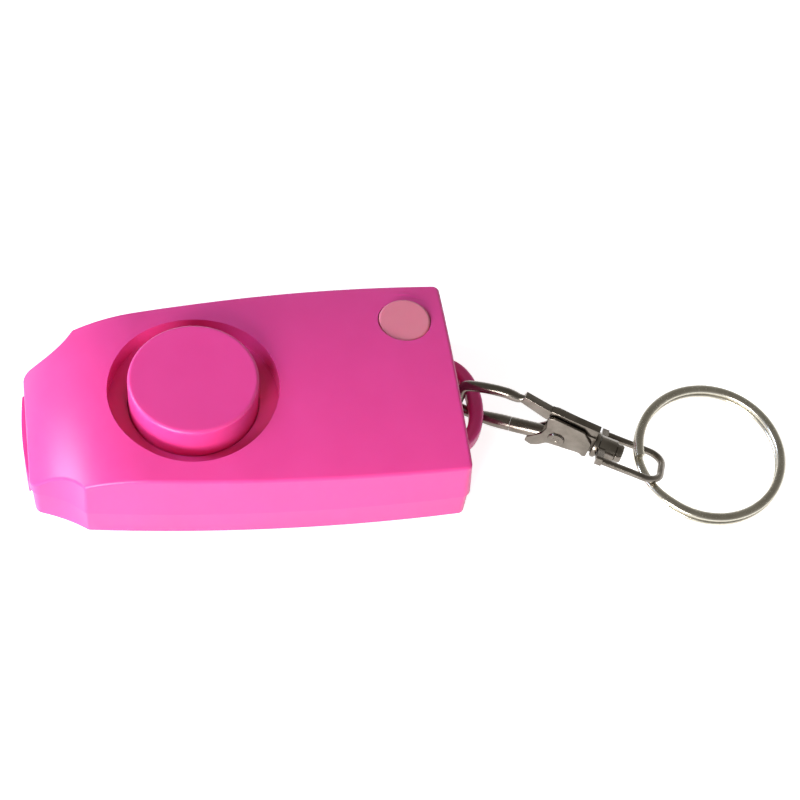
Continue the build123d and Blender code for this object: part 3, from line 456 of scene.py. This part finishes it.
def bent_arm(shape, route):
    """Round cast arm along a smooth line, thicker or thinner at each point."""
    curve = bpy.data.curves.new("arm_line", "CURVE")
    curve.dimensions = "3D"
    curve.bevel_depth = 1.0
    curve.bevel_resolution = 5
    curve.resolution_u = 10
    curve.use_fill_caps = True
    line = curve.splines.new("NURBS")
    line.points.add(len(route) - 1)
    for point, (along, up, radius) in zip(line.points, route):
        point.co = (along, up, 0, 1)
        point.radius = radius
    line.order_u = 3
    line.use_endpoint_u = True
    holder = bpy.data.objects.new("arm_line", curve)
    mesh = bpy.data.meshes.new_from_object(holder)
    shape.from_mesh(mesh)
    bpy.data.objects.remove(holder)
    bpy.data.meshes.remove(mesh)


hook = bmesh.new()
bent_arm(hook, hook_arm)
clasp_plate(hook, spine_outline, -spine_half, spine_half, corner=0, edge=spine_edge)
clasp_plate(hook, block_outline, -block_half, block_half, corner=block_corner, edge=block_edge)
turned_post(hook, post_profile, post_foot, across=False)
bmesh.ops.remove_doubles(hook, verts=hook.verts, dist=weld_gap)
clasp_hook_cast = finished_piece("clasp_hook_cast", hook, clasp_place, nickel, sharp_angle=35)
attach(clasp_hook_cast, "hook")
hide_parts("clasp_hook")

# The lever: folded from one steel strip into two cheeks with thumb tabs, a web between them and
# the round nose that shuts the hook's mouth; it turns on the rivet.
cheek_outline = [
    (15.4, 5.0), (21.7, 4.2), (23.95, 1.4), (23.95, -3.0), (23.3, -3.3), (22.6, -2.65), (16.0, -3.4),
    (14.75, -5.0), (13.4, -5.95), (11.9, -5.35), (12.0, -4.05), (14.4, -0.9), (14.8, 1.2), (14.2, 4.4),
]
cheek_inside = 1.06
cheek_outside = 1.56
cheek_corner = 0.34
cheek_edge = 0.12
web_outline = [(16.4, -3.3), (22.4, -2.6), (22.4, -2.15), (16.4, -2.85)]
web_half = 1.2
web_edge = 0.1
lever_nose = [(8.35, -4.05, 1.45), (11.0, -3.4, 1.47), (13.5, -2.75, 1.47), (14.8, -2.35, 1.4)]
lever = bmesh.new()
for low, high in ((cheek_inside, cheek_outside), (-cheek_outside, -cheek_inside)):
    clasp_plate(lever, cheek_outline, low, high, corner=cheek_corner, edge=cheek_edge)
clasp_plate(lever, web_outline, -web_half, web_half, corner=0, edge=web_edge)
bent_arm(lever, lever_nose)
bmesh.ops.remove_doubles(lever, verts=lever.verts, dist=weld_gap)
clasp_lever_folded = finished_piece("clasp_lever_folded", lever, clasp_place, nickel, sharp_angle=35)
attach(clasp_lever_folded, "lever")
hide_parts("clasp_lever")

# The rivet: a steel pin through both cheeks and the hook's block. Its heads are rolled over, so
# each stands as a small ring on its cheek.
rivet_place = (17.35, -0.95, 0)
rolled_head = [(0, 1.80), (0.55, 1.78), (0.8, 1.95), (1.15, 2.02), (1.55, 1.9), (1.7, 1.62), (0.8, 1.62)]
rivet_profile = [(radius, -height) for radius, height in rolled_head] + rolled_head[::-1]
rivet = bmesh.new()
turned_post(rivet, rivet_profile, rivet_place, across=True)
bmesh.ops.remove_doubles(rivet, verts=rivet.verts, dist=weld_gap)
lever_rivet_rolled = finished_piece("lever_rivet_rolled", rivet, clasp_place, nickel, sharp_angle=35)
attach(lever_rivet_rolled, "hook")
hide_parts("lever_rivet")

# The split ring: flattened steel wire rolled into two turns with a short jog between them, and
# nickel plated, brighter than the clasp. Its section is rounded, so the turns show as two
# bright bands. Its sizes are millimetres.
wire_half_width = 0.9
wire_half_height = 0.60
turn_radius = 14.1
turn_rise = 1.45
wire_start = radians(-138)
flat_sweep = 314
flat_steps = 120
jog_sweep = 360 - flat_sweep
jog_steps = 24
ring_middle = Vector((0.0989242, -0.0139877, 0.0026896))
ring_forward = Vector((0.997168, 0.060989, -0.044009))
ring_up = Vector((0.049081, -0.084317, 0.995230))
ring_axes = Matrix((ring_forward, ring_up.cross(ring_forward), ring_up)).transposed()
ring_place = Matrix.Translation(ring_middle) @ ring_axes.to_4x4() @ Matrix.Scale(millimetre, 4)
ring_plate = plated_metal(
    "ring_plate", light=(0.66, 0.62, 0.52), dark=(0.54, 0.50, 0.41), roughness=0.24, wave=0.02, marks=0.02,
)
ring = bmesh.new()
bmesh.ops.create_circle(ring, segments=20, radius=1.0)
bmesh.ops.scale(ring, verts=ring.verts, vec=(wire_half_width, wire_half_height, 1))
bmesh.ops.rotate(ring, verts=ring.verts, cent=(0, 0, 0), matrix=Matrix.Rotation(pi / 2, 3, "X"))
bmesh.ops.translate(ring, verts=ring.verts, vec=(turn_radius, 0, -turn_rise / 2))
bmesh.ops.rotate(ring, verts=ring.verts, cent=(0, 0, 0), matrix=Matrix.Rotation(wire_start, 3, "Z"))
section = list(ring.verts) + list(ring.edges)
flat_turn = (flat_sweep, 0, flat_steps)
jog = (jog_sweep, turn_rise, jog_steps)
for sweep, rise, steps in (flat_turn, jog, flat_turn):
    rolled = bmesh.ops.spin(
        ring, geom=section, cent=(0, 0, 0), axis=(0, 0, 1), dvec=(0, 0, rise / steps),
        angle=radians(sweep), steps=steps,
    )
    section = rolled["geom_last"]
bmesh.ops.remove_doubles(ring, verts=ring.verts, dist=weld_gap)
bmesh.ops.holes_fill(ring, edges=[edge for edge in ring.edges if edge.is_boundary], sides=0)
split_ring_wire = finished_piece("split_ring_wire", ring, ring_place, ring_plate, sharp_angle=40)
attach(split_ring_wire, "ring")
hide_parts("split_ring")

# The lever's spring, the battery contacts and the screws: drawn or stamped spring steel with a
# plain plate, pressed in or driven in from below.
spring_steel = plated_metal(
    "spring_steel", light=(0.55, 0.55, 0.54), dark=(0.42, 0.42, 0.41), roughness=0.3, wave=0.1, marks=0.3,
)
for name in ("lever_spring", "battery_contact_spring", "battery_contact_side", "case_screws"):
    dress(name, spring_steel)

# The big button's return spring: a coil of plated spring steel wire that stands under the
# button's top and is pressed shorter as the button goes down.
coil_weld_gap = 1e-7
coil = bmesh.new()
coil.from_mesh(nodes["panic_spring"].data)
bmesh.ops.remove_doubles(coil, verts=coil.verts, dist=coil_weld_gap)
panic_spring_coil = finished_piece(
    "panic_spring_coil", coil, Matrix.Identity(4), spring_steel, sharp_angle=35,
)
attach(panic_spring_coil, "case")
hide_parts("panic_spring")
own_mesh(panic_spring_coil)

# The works inside the case, out of sight: a green laminate board with its chip, coil and
# switches, two coin cells, and the piezo sounder over the grille.
board_laminate = moulded_plastic(
    "board_laminate", colour=(0.03, 0.22, 0.08), deep=(0.02, 0.17, 0.06), roughness=0.35, glow=0.0, grain=0.2,
)
dress("circuit_board", board_laminate)
black_plastic = moulded_plastic(
    "black_plastic", colour=(0.02, 0.02, 0.02), deep=(0.015, 0.015, 0.015),
    roughness=0.5, glow=0.0, grain=0.4,
)
for name in ("controller_chip", "panic_switch", "torch_switch", "boost_coil"):
    dress(name, black_plastic)
plunger_plastic = moulded_plastic(
    "switch_plunger", colour=(0.70, 0.66, 0.58), deep=(0.66, 0.62, 0.55), roughness=0.5, glow=0.1, grain=0.2,
)
for name in ("panic_switch_plunger", "torch_switch_plunger"):
    dress(name, plunger_plastic)
sounder_brass = plated_metal(
    "sounder_brass", light=(0.72, 0.52, 0.20), dark=(0.62, 0.44, 0.16), roughness=0.3, wave=0.1, marks=0.3,
)
dress("sounder_disc", sounder_brass)
silvered_ceramic = moulded_plastic(
    "silvered_ceramic", colour=(0.80, 0.79, 0.74), deep=(0.74, 0.73, 0.68),
    roughness=0.45, glow=0.0, grain=0.3,
)
dress("sounder_ceramic", silvered_ceramic)
cell_steel = plated_metal(
    "cell_steel", light=(0.66, 0.66, 0.64), dark=(0.58, 0.58, 0.56), roughness=0.28, wave=0.05, marks=0.4,
)
dress("coin_cell_lower", cell_steel)
dress("coin_cell_upper", cell_steel)
